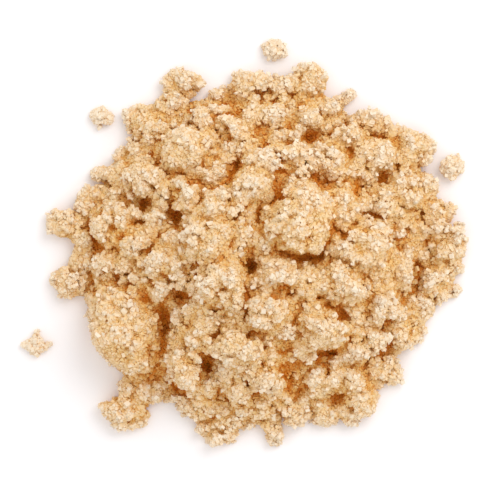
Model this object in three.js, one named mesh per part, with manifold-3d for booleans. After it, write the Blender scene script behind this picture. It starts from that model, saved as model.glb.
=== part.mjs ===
// A loose heap of moist light brown sugar, with the crumbs that rolled off it.
// Millimetres, +Z up. +X is the right and +Y the far side of the heap, as it is seen from
// straight above. The origin is the middle of the flat underside of the whole.
//
// The heap is one solid with an uneven top: a low mound, on it the clumps that the damp
// crystals have stuck together in, and over both the small knobs that the clumps are made
// of. The largest clumps are placed one by one, and smaller ones fill the gaps between
// them. Those on the mound are half squashed balls, and the top of the heap is the highest
// of all that lie there. Those on the rim are whole balls that rest on the floor.

import * as THREE from 'three';
import { mergeVertices } from 'three/addons/utils/BufferGeometryUtils.js';
import { ImprovedNoise } from 'three/addons/math/ImprovedNoise.js';
import Module from 'manifold-3d';

const wasm = await Module();
wasm.setup();

// The mound, which shows between the clumps: a few spoonfuls, tipped out and left as they
// fell. Its power makes it round at the top and straight at its foot.
const MOUND_WIDTH = 67;
const MOUND_DEPTH = 65;
const MOUND_HEIGHT = 15.5;
const MOUND_POWER = 1.7;
const MOUND_FOOT_HEIGHT = 1.2;
const HOLLOW_DROP = 3.5;
const HOLLOW_EDGE = [0.3, 1.1];

// How a clump departs from an even ball: its height by its width, how deep one is sunk in
// the mound, and what share of one is sunk in the floor.
const FLATNESS = 0.9;
const SUNK_DEPTH = 0.8;
const SUNK_SHARE = 0.35;

// How far the outlines on the mound wander, over what length, and the two layers of noise
// that push them to the right and to the far side.
const WANDER = 0.9;
const WANDER_LENGTH = 5;
const WANDER_LAYERS = [0.5, 7.5];

// The knobs all over the mound and its clumps: their spacing, radius and height by radius.
// Each square of their grid has a seed of its own, by two primes.
const KNOB_PITCH = 3.1;
const KNOB_RADIUS = [1.6, 2.6];
const KNOB_FLATNESS = 0.6;
const KNOB_SEED = 11;
const KNOB_SEED_STEPS = [7919, 104729];

// The small clumps between the placed ones, and the seed of their places.
const FILL_TRIES = 1200;
const FILL_RADIUS = [2.0, 3.0];
const FILL_ROUNDNESS = 0.85;
const FILL_SPACING = 0.88;
const FILL_REACH = 0.9;
const FILL_RISE = -0.2;
const FILL_SEED = 7;

// The core's net of faces: its starting sides, how often each is split, and how far its
// edge reaches below the floor before it is cut flat. Its outline is evened out over these
// degrees.
const CORE_SIDES = 6;
const CORE_SPLITS = 28;
const SKIRT = 1;
const FLOOR_SLAB = 10;
const REACH_STEP = 0.25;
const REACH_BEYOND = 8;
const EVENING_ANGLES = [-5, -3, -1, 1, 3, 5];

// The balls on the floor: how far their form swells and over how many waves, and how often
// an icosahedron's faces are split, for those of at least this radius and for the rest.
const SWELL = 0.4;
const SWELL_WAVES = 1.5;
const BIG_BALL = 3.7;
const BIG_BALL_SPLITS = 2;
const SMALL_BALL_SPLITS = 1;

// Clumps on the rim, which rest on the floor, clockwise from the left:
// [right, far, half width, half depth, turn]. Lengths from the middle of the heap, and
// the turn in degrees, anticlockwise.
const RIM_CLUMPS = [
	[-36.0, 6.5, 3.8, 2.9, 0], [-31.8, 4.2, 3.4, 3.2, 0], [-31.0, 11.0, 3.0, 2.6, 0],
	[-29.8, 16.0, 2.5, 1.6, -10], [-25.3, 15.5, 3.4, 3.0, 0], [-18.1, 23.2, 4.2, 4.2, 0],
	[-21.9, 26.4, 3.2, 2.7, 30], [-15.2, 28.3, 3.8, 3.0, 0], [-13.7, 32.9, 4.0, 2.7, 0],
	[-6.3, 31.0, 2.3, 2.1, 0], [-0.6, 32.5, 4.2, 2.9, 0], [5.3, 31.4, 3.0, 2.7, 0],
	[10.0, 33.2, 3.2, 3.6, 20], [14.3, 27.6, 3.0, 2.5, 0], [17.1, 30.4, 2.5, 1.4, 35],
	[22.2, 25.7, 3.8, 2.5, -10], [25.6, 21.6, 3.4, 3.0, 0], [29.5, 20.0, 4.0, 4.0, 0],
	[32.3, 13.7, 2.9, 2.7, 0], [33.5, 8.2, 3.4, 2.8, 0], [36.4, 8.6, 2.3, 2.0, 0],
	[35.9, 3.2, 4.2, 4.2, 20], [33.4, -4.0, 3.4, 3.2, 0], [36.9, -2.1, 2.5, 2.3, 0],
	[37.2, -6.3, 1.9, 1.7, 0], [32.4, -8.6, 3.4, 3.0, 0], [30.8, -14.1, 1.9, 2.3, 0],
	[25.7, -14.8, 4.2, 3.8, 0], [24.1, -21.8, 3.6, 3.0, 0], [19.4, -27.5, 4.0, 3.8, 20],
	[13.3, -29.6, 3.0, 2.3, 0], [7.2, -29.4, 2.7, 2.7, 0], [3.6, -33.2, 1.9, 3.4, 10],
	[-0.6, -29.4, 3.0, 3.0, 0], [-7.2, -33.6, 4.4, 2.7, -10], [-8.5, -28.7, 2.9, 2.5, 0],
	[-14.2, -25.6, 2.7, 2.5, 0], [-21.3, -24.9, 4.2, 3.0, 0], [-24.3, -29.4, 5.5, 3.2, -15],
	[-35.5, -4.5, 3.6, 3.0, 10], [-32.3, -1.0, 2.9, 2.3, 0],
];

// Clumps higher up, on the mound: [right, far, half width, half depth, turn, rise], where
// the rise is how much taller the clump is than it would be by its width.
const UPPER_CLUMPS = [
	// The boulder, and the long packed lump of the near left side.
	[7.8, 6.7, 6.6, 6.4, 0, 0.8], [-24.9, -13.5, 6.3, 9.5, 22, 1.0],
	// The slope, clockwise from the left.
	[-26.0, 6.6, 4.2, 3.8, 0, 0], [-22.8, 3.2, 3.6, 2.8, -20, 1], [-27.5, -1.0, 3.0, 2.3, 0, 0.5],
	[-17.5, -1.0, 3.2, 2.8, 0, 0.5], [-20.0, 15.0, 4.6, 3.4, 0, 0.5], [-12.4, 20.3, 5.3, 4.9, 0, 1],
	[-8.2, 26.4, 4.2, 3.4, 0, 0.5], [-3.6, 24.5, 2.7, 3.4, 25, 1], [3.8, 27.6, 4.2, 2.7, 0, 0],
	[11.4, 26.4, 3.8, 2.7, 0, 0], [17.1, 23.2, 3.2, 2.7, 0, 0.3], [22.8, 18.4, 4.2, 3.8, 0, 0.5],
	[27.6, 12.7, 4.2, 3.4, 0, 0.5], [31.4, 6.7, 3.0, 2.7, 0, -0.5], [27.9, -2.1, 2.5, 3.4, 0, 0.5],
	[23.8, -9.1, 4.6, 3.4, -20, 0.8], [20.9, -15.8, 3.8, 3.4, 0, 0.5], [17.1, -23.0, 3.8, 2.5, 0, 0],
	[2.5, -21.9, 3.8, 3.0, 20, 0.5], [-2.9, -24.3, 3.0, 2.7, 0, 0], [-12.4, -19.2, 2.9, 6.1, -5, 0.8],
	// The crown.
	[20.0, 2.1, 5.9, 4.8, 10, 1], [16.7, -5.1, 4.6, 3.4, -10, 0.8], [11.6, -12.4, 4.8, 4.2, 0, 0.8],
	[2.5, -9.3, 5.1, 3.8, 10, 0.8], [5.7, -2.5, 3.8, 2.5, -10, 0.2], [-2.9, -16.7, 4.9, 4.6, 0, 0.8],
	[-9.5, -14.4, 3.4, 2.5, 10, 0.8], [-6.3, -4.8, 4.9, 5.3, 15, 1], [-8.9, 2.9, 4.9, 3.8, 20, 1],
	[-1.0, 12.7, 3.8, 3.4, 0, 1], [-5.1, 9.3, 3.8, 2.7, 0, 0.8], [-12.4, 11.8, 3.4, 3.0, 0, 0.4],
	[2.9, 17.5, 3.8, 2.9, 0, 0.5], [8.2, 17.5, 3.0, 3.8, 0, 0.5], [15.2, 18.4, 3.2, 3.0, 0, 0],
	[16.2, 9.9, 2.9, 2.9, 0, 0], [23.8, 9.9, 3.2, 3.0, 0, 0.3],
];

// Deep hollows between the clumps: [right, far, half width, half depth, turn].
const HOLLOWS = [
	[-0.6, -1.5, 3.0, 2.2, 0], [10.5, 0.2, 3.6, 1.6, -15], [-20.5, 9.9, 2.2, 2.2, 0],
	[-14.3, 6.8, 2.4, 3.0, 20], [-17.1, -12.0, 2.2, 4.0, 20], [-13.1, -7.4, 3.4, 1.8, 0],
	[-9.1, -19.6, 1.8, 3.0, 10], [5.7, -22.4, 2.6, 1.8, 0], [10.5, 22.2, 2.6, 2.2, 0],
	[-3.2, 17.5, 2.0, 2.6, 0], [-5.1, 13.7, 2.0, 1.6, 0], [13.5, 14.3, 2.6, 2.2, 0],
	[30.6, -3.6, 2.0, 3.4, 0], [13.5, -17.3, 3.0, 1.8, 0], [6.3, -6.7, 1.8, 1.8, 0],
];

// Crumbs that lie apart on the floor: name, then the lumps that each is made of.
const CRUMBS = {
	crumb_far: [[3.8, 39.3, 2.3, 1.7, -10]],
	crumb_left: [[-41.6, -16.7, 2.1, 1.5, 10], [-39.7, -16.9, 0.9, 0.8, 0]],
	crumb_left_small: [[-41.3, -14.3, 0.6, 0.5, 0]],
	crumb_far_left: [[-28.9, 26.7, 2.4, 1.5, -10]],
	crumb_right: [[37.2, 17.2, 2.3, 1.9, 20]],
};

const UP = new THREE.Vector3(0, 0, 1);
const noise = new ImprovedNoise();
const random = THREE.MathUtils.seededRandom;
const { DEG2RAD, lerp, smoothstep } = THREE.MathUtils;

// Moves each corner of a closed geometry, and makes it a solid that can be joined and cut.
function shapedSolid(geometry, shape = (point) => point) {
	geometry.deleteAttribute('normal');
	geometry.deleteAttribute('uv');
	const { attributes: { position }, index } = mergeVertices(geometry);
	const point = new THREE.Vector3();
	for (let i = 0; i < position.count; i++) {
		position.setXYZ(i, ...shape(point.fromBufferAttribute(position, i)));
	}
	return new wasm.Manifold(new wasm.Mesh({
		numProp: 3,
		vertProperties: Float32Array.from(position.array),
		triVerts: Uint32Array.from(index.array),
	}));
}

function toGeometry(solid) {
	const { vertProperties, triVerts } = solid.getMesh();
	const geometry = new THREE.BufferGeometry();
	geometry.setAttribute('position', new THREE.BufferAttribute(vertProperties, 3));
	geometry.setIndex(new THREE.BufferAttribute(triVerts, 1));
	geometry.computeVertexNormals();
	return geometry;
}

const floorSlab = shapedSolid(new THREE.BoxGeometry(2 * MOUND_WIDTH, 2 * MOUND_DEPTH, FLOOR_SLAB)
	.translate(0, 0, -FLOOR_SLAB / 2));

// Where a place lies in a turned ellipse: 0 in its middle, 1 on its edge.
function shareOfEllipse([right, far, halfWidth, halfDepth, turn], x, y) {
	const cos = Math.cos(turn * DEG2RAD);
	const sin = Math.sin(turn * DEG2RAD);
	const along = (x - right) * cos + (y - far) * sin;
	const across = (y - far) * cos - (x - right) * sin;
	return Math.hypot(along / halfWidth, across / halfDepth);
}

// How far a place is from the middle of the mound: 0 there, 1 at its foot.
function shareOfMound(x, y) {
	return Math.hypot(2 * x / MOUND_WIDTH, 2 * y / MOUND_DEPTH);
}

// The mound, which is lower in the hollows and ends in a short step at its foot.
function moundHeight(x, y) {
	const share = shareOfMound(x, y);
	if (share > 1) return 0;
	const inHollow = Math.min(...HOLLOWS.map((hollow) => shareOfEllipse(hollow, x, y)));
	const drop = HOLLOW_DROP * (1 - smoothstep(inHollow, ...HOLLOW_EDGE));
	return MOUND_FOOT_HEIGHT + Math.max(MOUND_HEIGHT * (1 - share ** MOUND_POWER) - drop, 0);
}

// A clump that rests on the floor, a little sunk so that it sits on a flat.
function floorBall(ellipse) {
	const halfHeight = FLATNESS * Math.min(ellipse[2], ellipse[3]);
	return { ellipse, middleHeight: halfHeight * (1 - SUNK_SHARE), halfHeight };
}

// A clump that lies on the mound, half sunk in it.
function upperBall(clump) {
	const [right, far, halfWidth, halfDepth, , rise] = clump;
	const halfHeight = FLATNESS * (halfWidth + halfDepth) / 2 + rise;
	return { ellipse: clump, middleHeight: moundHeight(right, far) - SUNK_DEPTH, halfHeight };
}

// Small clumps at seeded places wherever the placed ones leave the mound bare.
function fillClumps(placed) {
	const fill = [];
	random(FILL_SEED);
	for (let attempt = 0; attempt < FILL_TRIES; attempt++) {
		const x = (random() - 0.5) * MOUND_WIDTH;
		const y = (random() - 0.5) * MOUND_DEPTH;
		const size = lerp(...FILL_RADIUS, random());
		const turn = 180 * random();
		const crowded = [...placed, ...fill].some(([right, far, halfWidth, halfDepth]) =>
			Math.hypot(x - right, y - far) < FILL_SPACING * (size + (halfWidth + halfDepth) / 2));
		if (crowded || shareOfMound(x, y) > FILL_REACH) continue;
		fill.push([x, y, size, FILL_ROUNDNESS * size, turn, FILL_RISE]);
	}
	return fill;
}

const placed = [...RIM_CLUMPS, ...UPPER_CLUMPS, ...HOLLOWS];
const upperBalls = [...UPPER_CLUMPS, ...fillClumps(placed)].map(upperBall);

// Moves a place a little to the side, so that what is drawn there has a wandering outline.
function wander(x, y) {
	const [u, v] = [x / WANDER_LENGTH, y / WANDER_LENGTH];
	const [right, far] = WANDER_LAYERS.map((layer) => 2 * WANDER * noise.noise(u, v, layer));
	return [x + right, y + far];
}

// The knobs: one in each square of a grid, pushed off its middle, and of its own size.
function knobHeight(x, y) {
	const column = Math.floor(x / KNOB_PITCH);
	const row = Math.floor(y / KNOB_PITCH);
	const [columnStep, rowStep] = KNOB_SEED_STEPS;
	let highest = 0;
	for (let i = column - 1; i <= column + 1; i++) {
		for (let j = row - 1; j <= row + 1; j++) {
			random(KNOB_SEED + columnStep * i + rowStep * j);
			const away = Math.hypot((i + random()) * KNOB_PITCH - x, (j + random()) * KNOB_PITCH - y);
			const radius = lerp(...KNOB_RADIUS, random());
			highest = Math.max(highest, radius ** 2 - away ** 2);
		}
	}
	return KNOB_FLATNESS * Math.sqrt(highest);
}

function topHeight(x, y) {
	const [u, v] = wander(x, y);
	let height = moundHeight(u, v);
	for (const { ellipse, middleHeight, halfHeight } of upperBalls) {
		const share = shareOfEllipse(ellipse, u, v);
		if (share >= 1) continue;
		height = Math.max(height, middleHeight + halfHeight * Math.sqrt(1 - share ** 2));
	}
	return height;
}

// How far the core reaches from its middle in one direction: the farthest place that has
// height on it, evened out over a few degrees to either side.
function coreReach(angle) {
	const reaches = EVENING_ANGLES.map((turn) => {
		const [cos, sin] = [Math.cos(angle + turn * DEG2RAD), Math.sin(angle + turn * DEG2RAD)];
		let reach = MOUND_WIDTH / 2 + REACH_BEYOND;
		while (topHeight(reach * cos, reach * sin) <= 0) reach -= REACH_STEP;
		return reach;
	});
	return reaches.reduce((sum, reach) => sum + reach) / reaches.length;
}

// The core: a six-sided double pyramid's even net of faces, its upper half laid over the
// mound and the clumps on it, from the middle to the outline, and its lower half sunk.
function coreSolid() {
	const corners = [0, 0, 1, 0, 0, -1];
	const faces = [];
	for (let i = 0; i < CORE_SIDES; i++) {
		const angle = 2 * Math.PI * i / CORE_SIDES;
		corners.push(Math.cos(angle), Math.sin(angle), 0);
		const [here, next] = [2 + i, 2 + (i + 1) % CORE_SIDES];
		faces.push(0, here, next, 1, next, here);
	}
	return shapedSolid(new THREE.PolyhedronGeometry(corners, faces, 1, CORE_SPLITS), (point) => {
		const angle = Math.atan2(point.y, point.x);
		const share = Math.acos(Math.min(Math.abs(point.z), 1)) / (Math.PI / 2);
		const reach = share * coreReach(angle);
		const [x, y] = [reach * Math.cos(angle), reach * Math.sin(angle)];
		const onRim = share > 1 - 0.5 / CORE_SPLITS;
		if (onRim) return point.set(x, y, -SKIRT);
		return point.set(x, y, point.z < 0 ? -2 * SKIRT : topHeight(x, y) + knobHeight(x, y));
	});
}

// One uneven ball of stuck crystals that rests on the floor.
function ballSolid({ ellipse, middleHeight, halfHeight }) {
	const [right, far, halfWidth, halfDepth, turn] = ellipse;
	const isBig = (halfWidth + halfDepth) / 2 >= BIG_BALL;
	const splits = isBig ? BIG_BALL_SPLITS : SMALL_BALL_SPLITS;
	const middle = new THREE.Vector3(right, far, middleHeight);
	const halfSize = new THREE.Vector3(halfWidth, halfDepth, halfHeight);
	return shapedSolid(new THREE.IcosahedronGeometry(1, splits), (point) => {
		const [u, v, w] = point.clone().multiplyScalar(SWELL_WAVES);
		point.multiplyScalar(1 + SWELL * noise.noise(u + right, v + far, w));
		point.multiply(halfSize);
		return point.applyAxisAngle(UP, turn * DEG2RAD).add(middle);
	});
}

function joinOnFloor(solids) {
	return toGeometry(solids.reduce((whole, solid) => whole.add(solid)).subtract(floorSlab));
}

const sugar = { roughness: 0.85, metalness: 0 };
const heapMaterial = new THREE.MeshStandardMaterial({ color: 0xd8ae81, ...sugar });
const crumbMaterial = new THREE.MeshStandardMaterial({ color: 0xdfb88c, ...sugar });

const heapSolids = [coreSolid(), ...RIM_CLUMPS.map(floorBall).map(ballSolid)];
const heap = new THREE.Mesh(joinOnFloor(heapSolids), heapMaterial);
heap.name = 'heap';

const brownSugar = new THREE.Group();
brownSugar.add(heap);
for (const [name, lumps] of Object.entries(CRUMBS)) {
	const crumb = new THREE.Mesh(joinOnFloor(lumps.map(floorBall).map(ballSolid)), crumbMaterial);
	crumb.name = name;
	brownSugar.add(crumb);
}

const middle = new THREE.Box3().setFromObject(brownSugar).getCenter(new THREE.Vector3());
brownSugar.position.set(-middle.x, -middle.y, 0);

export default brownSugar;
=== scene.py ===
"""The looks of a loose heap of moist light brown sugar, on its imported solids.

Each solid of the heap and its crumbs is replaced by sugar: a core of stuck crystals with gaps
between its tufts, and over it single crystals as joined meshes. Metres, +Z up. The heap is
seen from straight above, with +Y to the far side.
"""

import math

import bpy
import numpy as np
from bpy.props import FloatProperty, FloatVectorProperty, IntProperty, PointerProperty
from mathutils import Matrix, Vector
from mathutils.bvhtree import BVHTree


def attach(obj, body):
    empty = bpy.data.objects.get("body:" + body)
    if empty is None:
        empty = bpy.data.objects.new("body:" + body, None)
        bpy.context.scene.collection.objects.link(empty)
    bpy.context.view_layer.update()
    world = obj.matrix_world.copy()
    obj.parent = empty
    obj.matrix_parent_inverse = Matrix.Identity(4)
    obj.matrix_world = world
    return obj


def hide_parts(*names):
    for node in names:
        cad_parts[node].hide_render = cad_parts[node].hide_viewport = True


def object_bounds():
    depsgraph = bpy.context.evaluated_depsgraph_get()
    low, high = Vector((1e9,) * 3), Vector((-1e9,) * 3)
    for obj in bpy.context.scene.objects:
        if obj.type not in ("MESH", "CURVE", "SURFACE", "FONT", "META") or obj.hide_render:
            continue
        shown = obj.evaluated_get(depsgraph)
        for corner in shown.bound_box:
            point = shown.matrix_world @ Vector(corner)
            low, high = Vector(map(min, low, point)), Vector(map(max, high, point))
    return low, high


bl_info = {
    "name": "Heap of brown sugar",
    "version": (1, 0, 0),
    "blender": (4, 5, 0),
    "location": "3D View > Sidebar > Sugar",
    "description": "Builds a loose heap of moist brown sugar over its solids",
    "category": "Object",
}

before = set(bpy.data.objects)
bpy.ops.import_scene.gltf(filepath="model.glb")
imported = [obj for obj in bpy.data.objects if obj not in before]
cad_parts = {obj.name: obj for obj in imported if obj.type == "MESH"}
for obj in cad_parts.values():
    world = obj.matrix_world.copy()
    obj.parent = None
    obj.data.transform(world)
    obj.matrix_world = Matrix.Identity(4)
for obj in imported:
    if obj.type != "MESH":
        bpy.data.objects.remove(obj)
cad_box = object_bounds()

MM = 0.001

# Where the middle of the heap stands, from which the places below are measured, in
# millimetres to the right and to the far side.
HEAP_MIDDLE = (1.81, -2.33)

# The photograph's scale in millimetres a pixel, and the pixels of its middle and of the
# middle of the heap.
PIXEL_SIZE = 0.19
PHOTO_MIDDLE = (250, 250)
HEAP_PIXEL = (255, 257)

# The steps from the lowest corner of a grid's cell to each of its eight corners.
CUBE_STEPS = np.array([[i, j, k] for i in (0, 1) for j in (0, 1) for k in (0, 1)])

# The seeds of the random draws and of the noise.
SEEDS = {"heap": 23, "heap_relief": 31, "heap_crystals": 61, "core_tones": 8,
         "crumbs": 41, "crumb_relief": 61, "crumb_crystals": 71}
CRUMB_SEED_STEP = 4

CRUMBS = ["crumb_far", "crumb_left", "crumb_left_small", "crumb_far_left", "crumb_right"]

# Hollows between the clumps: [right, far, half width, half depth, turn in degrees, drop].
HOLLOWS = [
    [-0.6, -1.6, 1.5, 1.3, 0, 4.5], [5.6, 1.0, 2.8, 0.8, -14, 3.4], [9.2, 0.0, 2.4, 0.8, -12, 4.5],
    [12.4, 0.0, 1.5, 1.0, 35, 4.5], [12.9, 3.2, 0.8, 1.8, -5, 2.6], [-20.5, 9.9, 1.8, 1.8, 0, 2.6],
    [-2.8, 1.8, 0.9, 0.8, 0, 3.0], [-19.4, -4.6, 0.7, 2.6, 35, 2.6], [-16.6, -16.6, 0.8, 2.4, 5, 2.8],
    [-14.6, 5.5, 1.3, 1.3, 0, 2.6], [-13.9, 8.0, 1.6, 1.3, 30, 2.6], [-17.1, -12.0, 1.5, 3.2, 20, 3.4],
    [-20.0, -6.8, 1.2, 1.6, 30, 2.2], [-12.9, -7.4, 2.4, 1.2, 0, 2.4], [-9.1, -19.6, 1.2, 2.2, 10, 3.0],
    [5.7, -22.4, 1.9, 1.3, 0, 2.6], [10.5, 22.2, 2.0, 1.6, 0, 2.4], [5.3, 13.7, 1.3, 1.1, 0, 2.0],
    [18.0, 14.6, 1.4, 1.0, 0, 1.8], [13.9, 13.3, 1.8, 1.4, 0, 2.6], [-5.1, 13.7, 1.5, 1.1, 30, 3.0],
    [-3.2, 17.5, 1.2, 1.9, 0, 2.2], [1.0, 21.3, 1.4, 1.0, 0, 1.6], [17.1, -14.8, 2.0, 1.1, 0, 2.4],
    [4.4, -17.1, 1.3, 1.1, 0, 2.2], [14.3, -17.7, 2.0, 1.2, 0, 2.4], [10.1, -18.1, 1.0, 1.0, 0, 2.0],
    [6.3, -6.7, 1.4, 1.1, 0, 2.6], [12.0, -7.4, 1.1, 1.0, 0, 2.0], [-17.5, 4.2, 1.3, 1.1, 0, 2.0],
    [30.6, -3.6, 1.3, 2.8, 10, 2.2], [20.3, -5.3, 1.2, 1.0, 0, 1.6],
]

# Gullies, which are broader and join the hollows, in the same terms.
GULLIES = [
    [6.0, 0.5, 7.8, 1.4, -8, 2.4], [-1.3, 0.8, 2.6, 3.4, 0, 2.6], [-16.0, -8.8, 5.6, 2.8, 20, 3.2],
    [-17.5, -15.5, 2.0, 5.2, 8, 3.0], [-15.6, 6.5, 4.0, 2.5, 15, 2.6], [-20.5, 10.0, 2.6, 2.2, 0, 2.8],
    [1.5, 23.6, 2.6, 3.8, -15, 2.8], [-4.2, 16.0, 2.0, 4.2, -25, 2.8], [10.3, 23.0, 2.8, 2.8, 0, 2.8],
    [14.0, 13.0, 3.8, 2.4, 10, 3.0], [18.6, 12.5, 2.0, 3.6, 0, 2.6], [14.0, -17.0, 5.4, 2.2, 12, 3.0],
    [5.8, -17.0, 3.0, 1.8, 30, 2.8], [6.0, -22.2, 2.9, 2.4, 40, 3.0], [-9.0, -20.2, 2.1, 4.0, 10, 3.0],
    [0.7, 7.2, 1.3, 4.6, -4, 2.4], [13.4, 4.6, 1.3, 4.2, 4, 2.4], [30.4, -2.8, 2.2, 5.0, 10, 2.6],
    [27.2, -7.8, 2.8, 2.3, 0, 2.4], [14.6, -9.6, 3.4, 1.7, 0, 2.4], [-26.6, 4.0, 1.8, 3.8, 22, 2.2],
    [-7.6, -8.6, 2.8, 1.5, 0, 2.6], [-1.6, -8.6, 1.3, 4.4, 0, 2.2], [7.6, -10.2, 1.6, 4.0, -28, 2.2],
    [-20.4, -6.8, 2.0, 3.2, 30, 2.8], [-18.6, -22.0, 2.2, 4.0, -30, 2.4], [24.0, 15.4, 1.7, 2.2, 0, 2.0],
    [-6.8, -25.0, 2.2, 1.6, -30, 2.2], [20.2, -4.0, 1.6, 2.4, 30, 2.2], [22.6, 7.6, 3.6, 1.4, -12, 2.2],
    [-12.8, -2.2, 1.7, 2.6, 15, 2.2], [23.4, -18.0, 2.6, 1.8, 15, 2.2], [1.2, -13.6, 2.2, 1.5, 30, 2.0],
    [17.6, 19.6, 1.8, 2.6, 0, 2.2], [-3.6, 27.0, 1.9, 3.4, 25, 2.2], [15.8, -27.0, 3.8, 2.2, 0, 2.0],
    [-30.0, 1.6, 1.8, 4.2, 0, 2.0], [-17.8, 21.6, 1.6, 3.0, 0, 1.8], [-23.6, 17.4, 1.9, 2.3, 0, 1.8],
]

# Lumps that are packed closely, so that they have hardly any gaps: [right, far, half width,
# half depth, turn in degrees, how closely].
PACKED_LUMPS = [
    [7.6, 6.4, 6.2, 6.0, 0, 0.65], [-24.9, -13.5, 6.0, 9.2, 22, 0.7], [-12.0, 19.0, 8.5, 8.0, 30, 0.3],
    [-6.8, 3.0, 3.6, 9.5, -4, 0.25],
]

# The shares of its size between which the side of a hollow rises, that of a gully, and
# between which a packed lump ends.
HOLLOW_SIDES = (0.6, 1.0)
GULLY_SIDES = (0.35, 1.05)
LUMP_EDGES = (0.8, 1.05)

# The uneven edges of hollows and gullies: [size of the waves, how uneven, seed].
EDGE_WAVES = [[1.6 * MM, 0.30, 91], [0.8 * MM, 0.15, 92]]

# How a solid is worn: [size of the faces, rounds of evening, rounds of evening for the mean
# that creases are measured from, how much the creases are deepened].
HEAP_WEAR = [0.7 * MM, 4, 40, 0.9]
CRUMB_WEAR = [0.3 * MM, 1, 2, 0.0]

# The heights between which the deepening of the creases sets in, and the most that a crease
# sinks and a crest rises.
CREASE_HEIGHTS = (1.5 * MM, 5 * MM)
CREASE_LIMITS = (-2.5 * MM, 1.2 * MM)

# The cells of a crumb's core, the size of its tufts and gaps and the depth of its relief
# against the heap's, and the most crystals that lie on all the crumbs.
CRUMB_CELL = 0.25 * MM
CRUMB_SCALE = 0.4
CRUMB_RELIEF = 0.6
CRUMB_CRYSTALS = 4000

# The tufts are bent: how far, over which size, and the steps in seed for the three axes.
BEND = 1.1 * MM
BEND_SIZE = 1.6 * MM
BEND_SEEDS = (5, 6, 7)

# How much the coarse, the middling and the fine tufts count.
TUFT_SHARES = (0.40, 0.55, 0.75)

# The values of the tufts' waves between which a gap opens, in loose sugar and in a packed
# lump, and how deep a packed lump's gaps are against those of loose sugar.
LOOSE_GAPS = (-0.30, 0.60)
PACKED_GAPS = (-0.3, 0.8)
PACKED_DEPTH = 0.3

# The grain of the gaps: its size, its share of their depth and its step in seed.
GAP_GRAIN = 0.9 * MM
GAP_GRAIN_SHARE = 0.20
GAP_GRAIN_SEED = 3

# Gaps are shallower in some parts of the heap and close to the floor: the share of their
# depth that they always have, and the share that comes on top elsewhere.
PART_SIZE = 8 * MM
PART_SEED = 8
PART_EDGES = (-0.4, 0.4)
PART_DEPTHS = (0.70, 0.30)
FLOOR_HEIGHTS = (0.5 * MM, 2.2 * MM)
FLOOR_DEPTHS = (0.30, 0.70)

# How deep the carving looks into the solid, and how deep the sound sugar lies that tufts
# have to be joined to, against the depth of the gaps and at most against the solid's own.
CARVED_DEPTH = 1.5
SOUND_DEPTH = 0.8
SOUND_SHARE = 0.6

# How many cells a tuft may reach from sound sugar, and a gap from the open air, and how far
# over or under the skin the cells are set that are filled or dropped for it, in cells.
TUFT_REACH = 60
GAP_REACH = 6
FAINT = 0.25

# The relief of a core: the sizes of its fine and its broad waves, and the broad ones' share.
RELIEF_FINE = 0.45 * MM
RELIEF_BROAD = 1.1 * MM
RELIEF_BROAD_SHARE = 0.7

# How shut in a place is paints shade into the sugar's colour: darker and browner the more shut in it is.
# How shut in a place is: how many cells are averaged round it, how far off in the open, and
# how much that counts, close by and farther round. What lies over it counts between these
# depths. The way outward also rises by a share of its length.
NEAR_CELLS, NEAR_REACH, NEAR_SHARE = 3, 0.35 * MM, 0.50
WIDE_CELLS, WIDE_REACH, WIDE_SHARE = 7, 1.1 * MM, 0.85
TOP_CELLS, UNDER_DEPTHS, UNDER_SHARE = 5, (0.3 * MM, 4.5 * MM), 0.30
OUTWARD_RISE = 0.3
OPEN_ALLOWANCE = 0.015

# The tones of a core, which has no single crystals, from 0 for pale to 1 for brown.
CORE_TONES = (0.3, 0.7)

# How much a tone counts on the way from open to shut in, and where on it each colour lies. The way from
# open to shut in is painted shade, from pale to brown.
TONE_WEIGHT = 0.10
COLOUR_STOPS = {"pale": 0.03, "straw": 0.15, "honey": 0.29, "amber": 0.45, "brown": 0.68}

# The noise in the finishes: its roughness, and the values between which its effect runs.
NOISE_ROUGHNESS = 0.5
NOISE_RANGE = (0.3, 0.7)

# What makes the colours uneven: [size, detail, how far it goes either way].
COLOUR_NOISES = [[4.5 * MM, 2, 0.035], [0.35 * MM, 1, 0.015], [1.4 * MM, 2, 0.025]]

# How the roughness varies, and the fine grain of the surface.
ROUGHNESS_SIZE, ROUGHNESS_CHANGE = 0.25 * MM, 0.1
GRAIN_SIZE, GRAIN_DEPTH, GRAIN_STRENGTH = 0.15 * MM, 0.05 * MM, 0.25

SUGAR_IOR = 1.5
CRYSTAL_GLOSS = 0.15
CORE_GLOSS = 0.0
CORE_ROUGHNESS = 0.5
HEAP_CORE_SHIFT = 0.04
CRUMB_CORE_SHIFT = 0.0

# Crystals keep this far off the floor and go this far over the solids.
FLOOR_GAP = 0.12 * MM
TOP_GAP = 0.1 * MM
CORNER_GAP = 0.01 * MM

# The crystals that cover a core: how many places are tried for each that the spacing leaves
# room for, how far down their side of the core may face, and how far they sink or stand out
# in millimetres.
TRIES = 5
LOWEST_FACING = -0.75
COVER_DEPTHS = (-0.16, 0.08)

# The arms: the noise between which piles set in, the most crystals in one, how much it bends
# at each, and the chance that it goes on.
PILE_EDGES = (-0.2, 0.5)
ARM_CRYSTALS = 4
ARM_BEND = 0.9
ARM_CHANCE = 0.55

# The crystals' sizes: how much their lengths and their widths vary, and the length's limits.
LENGTH_SPREAD = 0.16
WIDTH_RANGE = (0.85, 1.15)
LENGTH_LIMITS = (0.4 * MM, 1.0 * MM)

# How closely the crystals' tones lie round the middle one, and by how much of being shut in
# the order may vary in which the most open crystals are kept.
TONE_SHAPE = 2.2
ORDER_CHANGE = 0.15

# The stage in metres: half the width of the floor, the lamp, and how near and how far the
# camera sees. Its sensor is in millimetres.
FLOOR_HALF = 3.0
FLOOR_ROUGHNESS = 0.9
FLOOR_GLOSS = 0.1
LAMP_SIZE = 0.5
LAMP_PLACE = (0.30, 0.34, 0.55)
SENSOR_WIDTH = 36
SIGHT = (0.01, 20)
MAX_BOUNCES = 10
DIFFUSE_BOUNCES = 8

# The least length that vectors are divided by.
TINY = 1e-20


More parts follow.
